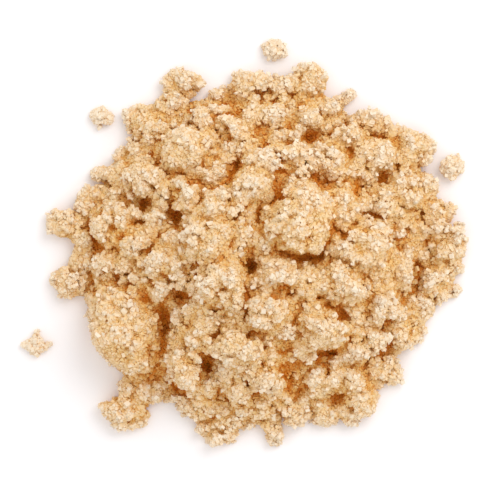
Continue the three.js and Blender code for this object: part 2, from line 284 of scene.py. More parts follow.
# ---------------------------------------------------------------------------- settings


class SugarClumps(bpy.types.PropertyGroup):
    cell: FloatProperty(
        name="Cell", description="Size of the cells that the core is made of, and of its faces",
        default=0.52 * MM, unit="LENGTH")
    depth: FloatProperty(
        name="Depth", description="How deep the gaps between the clumps go",
        default=2.5 * MM, unit="LENGTH")
    coarse: FloatProperty(
        name="Coarse size", description="Size of the largest tufts of stuck crystals",
        default=5.0 * MM, unit="LENGTH")
    middling: FloatProperty(
        name="Middling size", description="Size of the tufts between the largest and the smallest",
        default=2.4 * MM, unit="LENGTH")
    fine: FloatProperty(
        name="Fine size", description="Size of the smallest tufts of stuck crystals",
        default=1.25 * MM, unit="LENGTH")
    relief: FloatProperty(
        name="Relief", description="Depth of the fine relief all over the core",
        default=0.15 * MM, unit="LENGTH")


class SugarCrystals(bpy.types.PropertyGroup):
    length: FloatProperty(
        name="Length", description="Mean length of a crystal",
        default=0.66 * MM, unit="LENGTH")
    spacing: FloatProperty(
        name="Spacing", description="Least distance between the middles of two crystals",
        default=0.32 * MM, unit="LENGTH")
    # Painted shade: how much darker and browner the lower corners of a crystal are painted than its
    # upper ones.
    underside_shade: FloatProperty(
        name="Settling", description="How much more syrup there is on the underside of a crystal",
        default=0.10, min=0, max=1)
    heap_count: IntProperty(
        name="On the heap", description="The most crystals that lie on the heap",
        default=79000, min=100)
    arm_share: FloatProperty(
        name="Arm share", description="Share of the crystals on open tufts that bear an arm",
        default=0.8, min=0, max=1)
    arm_step: FloatProperty(
        name="Arm step", description="Distance between the crystals of an arm",
        default=0.33 * MM, unit="LENGTH")
    pile_size: FloatProperty(
        name="Pile size", description="Size of the little piles that the crystals stand in",
        default=1.1 * MM, unit="LENGTH")


# The sugar's colours from open to shut in: pale and straw in the open, and honey, amber and brown as
# painted shade where it is shut in, with random tones along the way.
class SugarColours(bpy.types.PropertyGroup):
    pale: FloatVectorProperty(
        name="Pale", description="The palest crystals on top",
        subtype="COLOR", size=3, default=(0.85, 0.723, 0.557))
    straw: FloatVectorProperty(
        name="Straw", description="Most crystals on top",
        subtype="COLOR", size=3, default=(0.83, 0.632, 0.40))
    # Honey is painted shade for sugar that is a little shut in.
    honey: FloatVectorProperty(
        name="Honey", description="Crystals with more syrup on them",
        subtype="COLOR", size=3, default=(0.81, 0.568, 0.27))
    amber: FloatVectorProperty(
        name="Amber", description="Crystals between the clumps",
        subtype="COLOR", size=3, default=(0.765, 0.448, 0.13))
    brown: FloatVectorProperty(
        name="Brown", description="Crystals deep in the hollows",
        subtype="COLOR", size=3, default=(0.67, 0.23, 0.02))


class SugarStage(bpy.types.PropertyGroup):
    floor_colour: FloatVectorProperty(
        name="Floor", description="Colour of the plain floor",
        subtype="COLOR", size=3, default=(0.935, 0.915, 0.925))
    sky: FloatProperty(
        name="Sky", description="Strength of the white light from all round",
        default=0.99, min=0)
    lamp: FloatProperty(
        name="Lamp", description="Power of the large soft lamp at the far right",
        default=1.7, min=0, unit="POWER")
    camera_height: FloatProperty(
        name="Camera height", description="Height of the camera over the floor",
        default=0.6, unit="LENGTH")
    view_width: FloatProperty(
        name="View width", description="Width of the floor that the photograph shows",
        default=95 * MM, unit="LENGTH")


# ---------------------------------------------------------------------------- shapes


def heap_place(right, far):
    """A place given from the middle of the heap in millimetres, in the row frame."""
    return (right + HEAP_MIDDLE[0]) * MM, (far + HEAP_MIDDLE[1]) * MM


def ellipse_share(ellipse, x, y):
    """Where places lie in a turned ellipse: 0 in its middle, 1 on its edge."""
    right, far, half_width, half_depth, turn = ellipse[:5]
    middle_x, middle_y = heap_place(right, far)
    cos, sin = math.cos(math.radians(turn)), math.sin(math.radians(turn))
    along = (x - middle_x) * cos + (y - middle_y) * sin
    across = (y - middle_y) * cos - (x - middle_x) * sin
    return np.hypot(along / (half_width * MM), across / (half_depth * MM))


def smooth(low, high, value):
    """From 0 at a low value to 1 at a high one, without a corner at either."""
    share = np.clip((value - low) / (high - low), 0, 1)
    return share * share * (3 - 2 * share)


def mesh_arrays(mesh):
    """The corners of a mesh and its triangles, as arrays."""
    corners = np.empty(len(mesh.vertices) * 3, np.float32)
    mesh.vertices.foreach_get("co", corners)
    mesh.calc_loop_triangles()
    triangles = np.empty(len(mesh.loop_triangles) * 3, np.int32)
    mesh.loop_triangles.foreach_get("vertices", triangles)
    return corners.reshape(-1, 3).astype(float), triangles.reshape(-1, 3)


def mesh_from(name, corners, faces):
    """A mesh from an array of corners and one of faces that all have as many sides."""
    mesh = bpy.data.meshes.new(name)
    mesh.vertices.add(len(corners))
    mesh.vertices.foreach_set("co", np.asarray(corners, np.float32).ravel())
    mesh.loops.add(faces.size)
    mesh.loops.foreach_set("vertex_index", np.asarray(faces, np.int32).ravel())
    mesh.polygons.add(len(faces))
    starts = np.arange(len(faces), dtype=np.int32) * faces.shape[1]
    mesh.polygons.foreach_set("loop_start", starts)
    mesh.update(calc_edges=True)
    return mesh


def add_object(name, data):
    ob = bpy.data.objects.new(name, data)
    bpy.context.scene.collection.objects.link(ob)
    return ob


def add_smoothing(ob, rounds):
    smoother = ob.modifiers.new("smooth", "SMOOTH")
    smoother.factor = 0.5
    smoother.iterations = rounds


def shaped(ob):
    """The mesh of an object with its modifiers applied, in place of the object."""
    depsgraph = bpy.context.evaluated_depsgraph_get()
    mesh = bpy.data.meshes.new_from_object(ob.evaluated_get(depsgraph))
    source = ob.data
    bpy.data.objects.remove(ob)
    bpy.data.meshes.remove(source)
    return mesh


def remeshed(corners, faces, size, rounds):
    """The skin of overlapping closed forms, as even faces that are smoothed."""
    ob = add_object("skin", mesh_from("skin", corners, faces))
    remesh = ob.modifiers.new("skin", "REMESH")
    remesh.mode = "VOXEL"
    remesh.voxel_size = size
    add_smoothing(ob, rounds)
    return shaped(ob)


def triangle_areas(corners, triangles):
    a, b, c = (corners[triangles[:, k]] for k in range(3))
    return np.linalg.norm(np.cross(b - a, c - a), axis=1) / 2


def unit(vectors):
    return vectors / np.maximum(np.linalg.norm(vectors, axis=1, keepdims=True), TINY)


def corner_normals(corners, triangles):
    """Which way a skin faces at each of its corners."""
    sides = np.cross(corners[triangles[:, 1]] - corners[triangles[:, 0]],
                     corners[triangles[:, 2]] - corners[triangles[:, 0]])
    normals = np.zeros_like(corners)
    for column in range(3):
        np.add.at(normals, triangles[:, column], sides)
    return unit(normals)


def scattered(corners, triangles, count, rng):
    """Random places all over a skin: the places, the triangles they are in and their shares."""
    areas = triangle_areas(corners, triangles)
    picked = np.searchsorted(np.cumsum(areas) / areas.sum(), rng.random(count))
    picked = np.minimum(picked, len(triangles) - 1)
    u, v = rng.random(count), rng.random(count)
    over = u + v > 1
    u[over], v[over] = 1 - u[over], 1 - v[over]
    shares = np.stack([1 - u - v, u, v], axis=1)
    places = np.einsum("ij,ijk->ik", shares, corners[triangles[picked]])
    return places, picked, shares


def spaced(places, gap):
    """The numbers of those places that are no nearer than gap to one kept before them."""
    kept, cells = [], {}
    squares = np.floor(places / gap).astype(int).tolist()
    steps = [(i, j, k) for i in (-1, 0, 1) for j in (-1, 0, 1) for k in (-1, 0, 1)]
    limit = gap * gap
    rows = places.tolist()
    for number, (square, place) in enumerate(zip(squares, rows)):
        x, y, z = place
        i, j, k = square
        near = False
        for di, dj, dk in steps:
            for px, py, pz in cells.get((i + di, j + dj, k + dk), ()):
                if (px - x) ** 2 + (py - y) ** 2 + (pz - z) ** 2 < limit:
                    near = True
                    break
            if near:
                break
        if near:
            continue
        cells.setdefault((i, j, k), []).append(place)
        kept.append(number)
    return np.array(kept, int)


def turns(count, rng):
    """Random rotations, as matrices."""
    w, x, y, z = rng.normal(size=(4, count))
    size = np.sqrt(w * w + x * x + y * y + z * z)
    w, x, y, z = w / size, x / size, y / size, z / size
    return np.stack([
        np.stack([1 - 2 * (y * y + z * z), 2 * (x * y - z * w), 2 * (x * z + y * w)], -1),
        np.stack([2 * (x * y + z * w), 1 - 2 * (x * x + z * z), 2 * (y * z - x * w)], -1),
        np.stack([2 * (x * z - y * w), 2 * (y * z + x * w), 1 - 2 * (x * x + y * y)], -1),
    ], axis=1)


def between(values, low, part):
    """The values of a grid at places between its points: each place's lowest point, and its
    share of the way to the next one along each axis."""
    total = np.zeros(len(low))
    size = np.array(values.shape)
    for step in CUBE_STEPS:
        weight = np.where(step, part, 1 - part).prod(axis=1)
        total += weight * values[tuple(((low + step) % size).T)]
    return total


def value_noise(places, size, seed):
    """Smooth noise from -1 to 1 with waves of about that size, the same at each run."""
    points = 32
    # So far along the repeated lattice that no place falls before its start.
    start = 1000.5
    lattice = np.random.default_rng(seed).random((points, points, points)) * 2 - 1
    grid = places / size + start
    low = np.floor(grid).astype(int)
    part = grid - low
    return between(lattice, low, part * part * (3 - 2 * part))


class CellGrid:
    """An even grid of cells over a solid, which starts just under the floor."""

    margin_cells = 4
    cells_under_floor = 1.5
    # Rays go beside the middles of the cells, so that none runs along an edge of the skin.
    # Each starts just under the last hit, and ends at the underside on the floor.
    ray_shift = np.array([0.013, 0.017])
    ray_step = 1e-6
    floor_height = 1e-5

    def __init__(self, corners, step):
        self.step = step
        margin = self.margin_cells * step
        lowest = -self.cells_under_floor * step
        self.start = np.array([*(corners[:, :2].min(axis=0) - margin), lowest])
        size = corners.max(axis=0) + margin - self.start
        self.shape = tuple(np.ceil(size / step).astype(int) + 1)

    def place(self, cells):
        """Where cells lie, in metres."""
        return self.start + np.asarray(cells) * self.step

    def inside(self, corners, triangles):
        """Which cells lie inside a closed skin, counting its crossings from above, and how
        high its top is in each column."""
        tree = BVHTree.FromPolygons(corners.tolist(), triangles.tolist(), all_triangles=True)
        crossings = np.zeros(self.shape, np.int16)
        tops = np.zeros(self.shape[:2])
        down = Vector((0, 0, -1))
        above = corners[:, 2].max() + self.step
        for i in range(self.shape[0]):
            for j in range(self.shape[1]):
                x, y = self.start[:2] + (np.array([i, j]) + self.ray_shift) * self.step
                z = above
                while z > 0:
                    hit = tree.ray_cast(Vector((x, y, z)), down)[0]
                    if hit is None or hit.z < self.floor_height:
                        break
                    crossings[i, j, int((hit.z - self.start[2]) / self.step)] += 1
                    tops[i, j] = max(tops[i, j], hit.z)
                    z = hit.z - self.ray_step
        filled = np.cumsum(crossings[:, :, ::-1], axis=2)[:, :, ::-1] % 2 == 1
        filled[:, :, 0] = False
        return filled, tops

    def sample(self, values, places):
        """The values of the grid at any places, which are kept just short of its last cell."""
        last = np.array(values.shape) - 1.001
        cells = np.clip((places - self.start) / self.step, 0, last)
        low = np.floor(cells).astype(int)
        return between(values, low, cells - low)


def distance_to(wanted, reach):
    """How many cells away the nearest wanted one is, up to a reach."""
    squares = np.where(wanted, 0, (reach + 1) ** 2).astype(np.float32)
    for axis in range(3):
        line = np.moveaxis(squares, axis, 0)
        nearest = line.copy()
        for shift in range(1, reach + 1):
            np.minimum(nearest[shift:], line[:-shift] + shift * shift, out=nearest[shift:])
            np.minimum(nearest[:-shift], line[shift:] + shift * shift, out=nearest[:-shift])
        squares = np.moveaxis(nearest, 0, axis)
    return np.sqrt(squares)


def blurred(values, width):
    """A grid with each value as the mean of its neighbours over a width in cells, twice."""
    values = values.astype(np.float32)
    for axis in (0, 1, 2, 0, 1, 2):
        line = np.moveaxis(values, axis, 0)
        ends = [(width // 2 + 1, width // 2), (0, 0), (0, 0)]
        total = np.cumsum(np.pad(line, ends, mode="edge"), axis=0, dtype=np.float64)
        mean = (total[width:] - total[:-width]) / width
        values = np.moveaxis(mean.astype(np.float32), 0, axis)
    return values


def held(filled, seeds, rounds):
    """The filled cells that are joined to the seeds through other filled cells."""
    reached = filled & seeds
    for _ in range(rounds):
        grown = reached.copy()
        for axis in range(3):
            line, more = np.moveaxis(reached, axis, 0), np.moveaxis(grown, axis, 0)
            more[1:] |= line[:-1]
            more[:-1] |= line[1:]
        grown &= filled
        if (grown == reached).all():
            break
        reached = grown
    return reached


def skin_of(values, grid):
    """The skin round the cells whose values are over zero, as even four-sided faces."""
    size = np.array(values.shape) - 1
    count = sum((values[i:size[0] + i, j:size[1] + j, k:size[2] + k] > 0).astype(np.int8)
                for i, j, k in CUBE_STEPS)
    cells = np.argwhere((count > 0) & (count < 8))
    total, crossed = np.zeros((len(cells), 3)), np.zeros((len(cells), 1))
    for start in CUBE_STEPS:
        for axis in range(3):
            if start[axis]:
                continue
            low = values[tuple((cells + start).T)]
            high = values[tuple((cells + start + np.eye(3, dtype=int)[axis]).T)]
            crossing = (low > 0) != (high > 0)
            share = np.where(crossing, low / np.where(crossing, low - high, 1), 0)
            total += crossing[:, None] * start + share[:, None] * np.eye(3)[axis]
            crossed[:, 0] += crossing
    corners = grid.place(cells + total / crossed)
    number = np.full(size, -1)
    number[tuple(cells.T)] = np.arange(len(cells))
    faces = []
    for axis in range(3):
        one, two = np.roll(np.eye(3, dtype=int), -1 - axis, axis=0)[:2]
        low = np.moveaxis(np.moveaxis(values, axis, 0)[:-1], 0, axis)
        high = np.moveaxis(np.moveaxis(values, axis, 0)[1:], 0, axis)
        for leaving in (True, False):
            edge = np.argwhere((low > 0) & (high <= 0) if leaving else (low <= 0) & (high > 0))
            around = [edge - one - two, edge - two, edge, edge - one]
            if not leaving:
                around.reverse()
            faces.append(np.stack([number[tuple(cell.T)] for cell in around], 1))
    return corners, np.concatenate(faces)


def hollow_drop(places):
    """How far the skin is lowered over each place, in metres. The edges are uneven."""
    x, y = places[:, 0], places[:, 1]
    uneven = np.ones(len(x))
    for size, amount, seed in EDGE_WAVES:
        uneven = uneven + amount * value_noise(places, size, seed)
    drop = np.zeros(len(x))
    for hollows, sides in ((HOLLOWS, HOLLOW_SIDES), (GULLIES, GULLY_SIDES)):
        for hollow in hollows:
            share = ellipse_share(hollow, x, y) * uneven
            drop = np.maximum(drop, hollow[5] * MM * (1 - smooth(*sides, share)))
    return drop


def packedness(x, y):
    """How closely the sugar is packed: up to 1 on a packed lump, 0 elsewhere."""
    packed = np.zeros(len(x))
    for lump in PACKED_LUMPS:
        on_lump = 1 - smooth(*LUMP_EDGES, ellipse_share(lump, x, y))
        packed = np.maximum(packed, lump[5] * on_lump)
    return packed


# ---------------------------------------------------------------------------- finishes


def new_material(name):
    material = bpy.data.materials.new(name)
    material.use_nodes = True
    material.node_tree.nodes.clear()
    return material, material.node_tree.nodes, material.node_tree.links


def colour4(colour):
    return (*colour, 1)


def attribute(nodes, name):
    node = nodes.new("ShaderNodeAttribute")
    node.attribute_name = name
    return node.outputs["Fac"]


def noise(nodes, links, size, detail):
    place = nodes.new("ShaderNodeTexCoord")
    node = nodes.new("ShaderNodeTexNoise")
    node.inputs["Scale"].default_value = 1 / size
    node.inputs["Detail"].default_value = detail
    node.inputs["Roughness"].default_value = NOISE_ROUGHNESS
    links.new(place.outputs["Object"], node.inputs["Vector"])
    return node.outputs["Fac"]


def varied(nodes, links, size, detail, low, high):
    """Noise as values from low to high."""
    node = nodes.new("ShaderNodeMapRange")
    links.new(noise(nodes, links, size, detail), node.inputs["Value"])
    node.inputs["From Min"].default_value = NOISE_RANGE[0]
    node.inputs["From Max"].default_value = NOISE_RANGE[1]
    node.inputs["To Min"].default_value = low
    node.inputs["To Max"].default_value = high
    return node.outputs["Result"]


def summed(nodes, links, a, b):
    node = nodes.new("ShaderNodeMath")
    node.operation = "ADD"
    links.new(a, node.inputs[0])
    links.new(b, node.inputs[1])
    return node.outputs["Value"]


def ramp(nodes, links, value, stops):
    node = nodes.new("ShaderNodeValToRGB")
    elements = node.color_ramp.elements
    while len(elements) < len(stops):
        elements.new(0.5)
    for element, (position, colour) in zip(elements, stops):
        element.position = position
        element.color = colour4(colour)
    links.new(value, node.inputs["Fac"])
    return node.outputs["Color"]


def sugar_finish(name, tone_shift, roughness, gloss):
    """Damp sugar with painted shade: pale on top, painted darker and browner wherever it is shut in,
    with its random tones and patches.
    """
    colours = bpy.context.scene.sugar_colours
    material, nodes, links = new_material(name)
    tone = attribute(nodes, "tone")
    shut = attribute(nodes, "shut_in")
    patches, mottle, spots = (varied(nodes, links, size, detail, -change, change)
                              for size, detail, change in COLOUR_NOISES)
    # Painted shade: the more shut in a place is, the further its colour goes towards amber and brown.
    # The random tone and patches are added to it.
    tone_and_shade = nodes.new("ShaderNodeMath")
    tone_and_shade.operation = "MULTIPLY_ADD"
    links.new(tone, tone_and_shade.inputs[0])
    tone_and_shade.inputs[1].default_value = TONE_WEIGHT
    uneven = summed(nodes, links, summed(nodes, links, patches, mottle), spots)
    links.new(summed(nodes, links, shut, uneven), tone_and_shade.inputs[2])
    stops = [(max(0.0, stop + tone_shift), getattr(colours, colour))
             for colour, stop in COLOUR_STOPS.items()]
    shader = nodes.new("ShaderNodeBsdfPrincipled")
    links.new(ramp(nodes, links, tone_and_shade.outputs["Value"], stops), shader.inputs["Base Color"])
    shader.inputs["Specular IOR Level"].default_value = gloss
    links.new(varied(nodes, links, ROUGHNESS_SIZE, 1, roughness - ROUGHNESS_CHANGE,
                     roughness + ROUGHNESS_CHANGE), shader.inputs["Roughness"])
    shader.inputs["IOR"].default_value = SUGAR_IOR
    bump = nodes.new("ShaderNodeBump")
    bump.inputs["Strength"].default_value = GRAIN_STRENGTH
    bump.inputs["Distance"].default_value = GRAIN_DEPTH
    links.new(noise(nodes, links, GRAIN_SIZE, 2), bump.inputs["Height"])
    links.new(bump.outputs["Normal"], shader.inputs["Normal"])
    output = nodes.new("ShaderNodeOutputMaterial")
    links.new(shader.outputs["BSDF"], output.inputs["Surface"])
    return material


# ---------------------------------------------------------------------------- pieces


def set_values(mesh, name, values):
    layer = mesh.attributes.new(name, "FLOAT", "POINT")
    layer.data.foreach_set("value", np.asarray(values, np.float32))


def worn_solid(node, size, rounds, mean_rounds, deepening):
    """The skin of a solid with its edges worn off, and the creases between its clumps
    deepened: its corners and its triangles."""
    corners, triangles = mesh_arrays(node.data)
    even = remeshed(corners, triangles, size, rounds)
    mean = remeshed(corners, triangles, size, mean_rounds)
    corners, triangles = mesh_arrays(even)
    mean_corners, _ = mesh_arrays(mean)
    for mesh in (even, mean):
        bpy.data.meshes.remove(mesh)
    share = smooth(*CREASE_HEIGHTS, corners[:, 2])
    change = np.clip(deepening * (corners[:, 2] - mean_corners[:, 2]), *CREASE_LIMITS)
    corners[:, 2] = np.maximum(corners[:, 2] + share * change, 0)
    return corners, triangles


def bake_cells(mesh, faces_each):
    """A map for baking with a square for each form, which has that many faces. Each of
    its faces fills the same square."""
    sides = len(mesh.polygons[0].vertices)
    count = len(mesh.polygons) // faces_each
    across = math.ceil(math.sqrt(count))
    number = np.arange(count)
    cell = np.stack([number % across, number // across], axis=1)
    square = np.array([[0.2, 0.2], [0.8, 0.2], [0.8, 0.8], [0.2, 0.8]])[:sides]
    places = (cell[:, None, None] + square[None, None]) / across
    places = np.broadcast_to(places, (count, faces_each, sides, 2))
    layer = mesh.uv_layers.new(name="OFBake")
    layer.uv.foreach_set("vector", places.astype(np.float32).ravel())


def gap_depths(places, scale, seed):
    """How deep the gaps between the tufts go at each place, in metres."""
    clumps = bpy.context.scene.sugar_clumps
    bends = [value_noise(places, BEND_SIZE * scale, seed + step) for step in BEND_SEEDS]
    bent = places + BEND * scale * np.stack(bends, axis=1)
    sizes = (clumps.coarse, clumps.middling, clumps.fine)
    waves = sum(share * value_noise(bent, size * scale, seed + step)
                for step, (share, size) in enumerate(zip(TUFT_SHARES, sizes)))
    closed = packedness(places[:, 0], places[:, 1])
    pits = (smooth(*LOOSE_GAPS, waves) * (1 - closed)
            + PACKED_DEPTH * smooth(*PACKED_GAPS, waves) * closed)
    grain = GAP_GRAIN_SHARE * value_noise(places, GAP_GRAIN, seed + GAP_GRAIN_SEED)
    gap = clumps.depth * scale * (pits + grain)
    parts = value_noise(places, PART_SIZE, seed + PART_SEED)
    gap *= PART_DEPTHS[0] + PART_DEPTHS[1] * smooth(*PART_EDGES, parts)
    low, high = (height * scale for height in FLOOR_HEIGHTS)
    return gap * (FLOOR_DEPTHS[0] + FLOOR_DEPTHS[1] * smooth(low, high, places[:, 2]))


def carved_cells(node, cell, wear, scale, seed):
    """A worn solid as cells with gaps between the tufts of crystals: the grid, how high the
    solid's top is in each column, and values that are over zero in the sugar, as depths."""
    clumps = bpy.context.scene.sugar_clumps
    corners, triangles = worn_solid(node, *wear)
    grid = CellGrid(corners, cell)
    filled, tops = grid.inside(corners, triangles)
    reach = math.ceil(CARVED_DEPTH * clumps.depth * scale / cell)
    depth = (distance_to(~filled, reach) - 0.5) * cell
    depth[:, :, 0] = -0.5 * cell
    cells = np.argwhere(filled & (depth < reach * cell))
    places = grid.place(cells)
    under = tops[cells[:, 0], cells[:, 1]] - places[:, 2]
    left = np.minimum(depth[tuple(cells.T)] - gap_depths(places, scale, seed),
                      under - hollow_drop(places))
    values = np.where(filled, depth, -0.5 * cell)
    values[tuple(cells.T)] = left
    sound = depth > min(SOUND_DEPTH * clumps.depth * scale, SOUND_SHARE * depth.max())
    kept = held(values > 0, sound, TUFT_REACH)
    values[(values > 0) & ~kept] = -FAINT * cell
    open_air = held(values <= 0, ~filled, GAP_REACH)
    values[(values <= 0) & ~open_air] = FAINT * cell
    return grid, tops, np.clip(values, -cell, cell)


def core_skin(grid, values):
    """The skin of carved cells, with its steps smoothed."""
    ob = add_object("skin", mesh_from("skin", *skin_of(values, grid)))
    add_smoothing(ob, 1)
    return shaped(ob)


def relief(mesh, depth, seed):
    """Fine relief of crystals all over a core, which stays on the floor."""
    corners, triangles = mesh_arrays(mesh)
    normals = corner_normals(corners, triangles)
    push = depth * (value_noise(corners, RELIEF_FINE, seed)
                    + RELIEF_BROAD_SHARE * value_noise(corners, RELIEF_BROAD, seed + 1))
    corners = corners + normals * push[:, None]
    corners[:, 2] = np.maximum(corners[:, 2], 0)
    mesh.vertices.foreach_set("co", corners.astype(np.float32).ravel())
    mesh.update()


# What the crystals on each core are laid by, under the name of the core.
cores = {}


def shut_in(core, places):
    """How shut in places at a core are, from 0 in the open to 1 deep in a hollow. Close by
    and farther round, the more open of the ways up and outward counts."""
    grid = core["grid"]
    up = np.array([0, 0, 1.0])
    outward = unit((places - core["middle"]) * [1, 1, 0])
    outward[:, 2] = OUTWARD_RISE
    near, wide = (np.minimum(grid.sample(core[name], places + reach * up),
                             grid.sample(core[name], places + reach * outward))
                  for name, reach in (("near", NEAR_REACH), ("wide", WIDE_REACH)))
    under = grid.sample(core["tops"], places * [1, 1, 0]) - places[:, 2]
    shut = NEAR_SHARE * near + WIDE_SHARE * wide + UNDER_SHARE * smooth(*UNDER_DEPTHS, under)
    return np.clip(shut - OPEN_ALLOWANCE, 0, 1)


def build_core(node, material, cell, wear, scale, seed, relief_depth, relief_seed):
    """Puts a core in the place of a solid, and keeps what its crystals are laid by."""
    name = node + "_core"
    grid, tops, values = carved_cells(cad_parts[node], cell, wear, scale, seed)
    mesh = core_skin(grid, values)
    relief(mesh, relief_depth, relief_seed)
    ob = add_object(name, mesh)
    mesh.name = name
    mesh.materials.append(material)
    corners, triangles = mesh_arrays(mesh)
    sugar = values > 0
    core = {"corners": corners, "triangles": triangles,
            "normals": corner_normals(corners, triangles),
            "grid": grid, "middle": corners.mean(axis=0),
            "near": blurred(sugar, NEAR_CELLS), "wide": blurred(sugar, WIDE_CELLS),
            "tops": np.repeat(blurred(tops[:, :, None], TOP_CELLS), 2, axis=2)}
    # Painted shade: the core's colour is darker and browner the more shut in each corner is.
    set_values(mesh, "shut_in", shut_in(core, corners))
    rng = np.random.default_rng(SEEDS["core_tones"])
    set_values(mesh, "tone", rng.uniform(*CORE_TONES, len(corners)))
    bake_cells(mesh, 1)
    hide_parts(node)
    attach(ob, "root")
    cores[name] = core


# The forms of crystals: the corners and the faces.
BLOCK = (
    np.array([[x, y, z] for x in (-1, 1) for y in (-1, 1) for z in (-1, 1)], float),
    np.array([[0, 1, 3, 2], [4, 6, 7, 5], [0, 4, 5, 1],
              [2, 3, 7, 6], [0, 2, 6, 4], [1, 5, 7, 3]]))
WEDGE = (
    np.array([[-1, -1, -1], [1, -1, -1], [0, 1, -1],
              [-1, -1, 1], [1, -1, 1], [0, 1, 1]], float),
    np.array([[0, 2, 1], [3, 4, 5], [0, 1, 4], [0, 4, 3],
              [1, 2, 5], [1, 5, 4], [2, 0, 3], [2, 3, 5]]))
SPLINTER = (
    np.array([[-1, 0, 0], [1, 0, 0], [0, -1, 0], [0, 1, 0], [0, 0, -1], [0, 0, 1]], float),
    np.array([[0, 2, 5], [2, 1, 5], [1, 3, 5], [3, 0, 5],
              [2, 0, 4], [1, 2, 4], [3, 1, 4], [0, 3, 4]]))

# name: [share of the whole, form, half sizes by length, unevenness, tone shift, roughness]
CRYSTAL_KINDS = {
    "crystals_blocky": [0.200, BLOCK, (0.50, 0.43, 0.38), 0.14, 0.0, 0.42],
    "crystals_long": [0.190, BLOCK, (0.58, 0.38, 0.34), 0.14, -0.03, 0.36],
    "crystals_flat": [0.305, WEDGE, (0.60, 0.55, 0.38), 0.20, 0.02, 0.46],
    "crystals_broken": [0.305, SPLINTER, (0.70, 0.62, 0.54), 0.25, -0.01, 0.50],
}
CRUMB_KINDS = {
    "crumb_crystals": [1.0, BLOCK, (0.52, 0.42, 0.35), 0.2, -0.05, 0.42],
}


def crystal_forms(middles, lengths, form, halves, slant, rng):
    """Uneven crystals of a form with pushed corners, one for each middle."""
    count = len(middles)
    points, sides = form
    halves = lengths[:, None] * np.array(halves) * rng.uniform(*WIDTH_RANGE, (count, 3))
    pushed = points[None] + rng.uniform(-slant, slant, (count, len(points), 3))
    corners = pushed * halves[:, None]
    corners = np.einsum("nij,nkj->nki", turns(count, rng), corners) + middles[:, None]
    lowest = corners[:, :, 2].min(axis=1)
    corners[:, :, 2] += np.maximum(CORNER_GAP - lowest, 0)[:, None]
    faces = sides[None] + (np.arange(count) * len(points))[:, None, None]
    return corners.reshape(-1, 3), faces.reshape(-1, sides.shape[1])


def covering(core, rng):
    """The middles of crystals all over a core, and which way the core faces there."""
    spacing = bpy.context.scene.sugar_crystals.spacing
    corners, triangles = core["corners"], core["triangles"]
    count = int(TRIES * triangle_areas(corners, triangles).sum() / spacing ** 2)
    spots, picked, shares = scattered(corners, triangles, count, rng)
    facing = unit(np.einsum("ij,ijk->ik", shares, core["normals"][triangles[picked]]))
    keep = (facing[:, 2] > LOWEST_FACING) & (spots[:, 2] > FLOOR_GAP)
    spots, facing = spots[keep], facing[keep]
    kept = spaced(spots, spacing)
    spots, facing = spots[kept], facing[kept]
    return spots + facing * rng.uniform(*COVER_DEPTHS, (len(spots), 1)) * MM, facing


def arms(core, spots, facing, seed, rng):
    """Short rows of crystals that stick out, from some of the crystals that cover a core."""
    settings = bpy.context.scene.sugar_crystals
    piled = smooth(*PILE_EDGES, value_noise(spots, settings.pile_size, seed))
    chance = settings.arm_share * piled * (1 - shut_in(core, spots)) ** 2
    kept = rng.random(len(spots)) < chance
    ends, ahead = spots[kept], facing[kept]
    rows = []
    for _ in range(ARM_CRYSTALS):
        ahead = unit(ahead + ARM_BEND * rng.normal(size=ahead.shape))
        ends = ends + ahead * settings.arm_step
        rows.append(ends)
        longer = rng.random(len(ends)) < ARM_CHANCE
        ends, ahead = ends[longer], ahead[longer]
    return np.concatenate(rows)


def crystal_places(names, most, seed, rng):
    """Where crystals lie on the named cores, and the number of the core for each."""
    highest = cad_box[1][2] + TOP_GAP
    places, shut, owner = [], [], []
    for number, name in enumerate(names):
        core = cores[name]
        cover, facing = covering(core, rng)
        spots = np.concatenate([cover, arms(core, cover, facing, seed, rng)])
        spots = spots[(spots[:, 2] > FLOOR_GAP) & (spots[:, 2] < highest)]
        places.append(spots)
        shut.append(shut_in(core, spots))
        owner.append(np.full(len(spots), number))
    places, shut, owner = np.concatenate(places), np.concatenate(shut), np.concatenate(owner)
    kept = np.argsort(shut + rng.uniform(0, ORDER_CHANGE, len(shut)))[:most]
    rng.shuffle(kept)
    return places[kept], owner[kept]


def scatter_crystals(names, kinds, most, seed):
    """Lays crystals on the named cores, as one piece for each kind."""
    settings = bpy.context.scene.sugar_crystals
    rng = np.random.default_rng(seed)
    places, owner = crystal_places(names, most, seed, rng)
    start = 0
    for name, (share, form, halves, slant, shift, rough) in kinds.items():
        count = int(len(places) * share)
        part = slice(start, start + count)
        start += count
        lengths = settings.length * rng.lognormal(0, LENGTH_SPREAD, count)
        lengths = np.clip(lengths, *LENGTH_LIMITS)
        corners, faces = crystal_forms(places[part], lengths, form, halves, slant, rng)
        mesh = mesh_from(name, corners, faces)
        sides = len(form[0])
        set_values(mesh, "tone", np.repeat(rng.beta(TONE_SHAPE, TONE_SHAPE, count), sides))
        # Painted shade: each corner is darker and browner the more shut in it is and the lower it lies
        # in its crystal.
        corner_shut, corner_owner = np.zeros(len(corners)), np.repeat(owner[part], sides)
        for number, core_name in enumerate(names):
            own = corner_owner == number
            corner_shut[own] = shut_in(cores[core_name], corners[own])
        sunk = (np.repeat(places[part, 2], sides) - corners[:, 2]) / settings.length
        set_values(mesh, "shut_in", corner_shut + settings.underside_shade * sunk)
        if form is not SPLINTER:
            mesh.shade_flat()
        bake_cells(mesh, len(form[1]))
        mesh.materials.append(sugar_finish("sugar_" + name, shift, rough, CRYSTAL_GLOSS))
        ob = add_object(name, mesh)
        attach(ob, "root")


# ---------------------------------------------------------------------------- operators


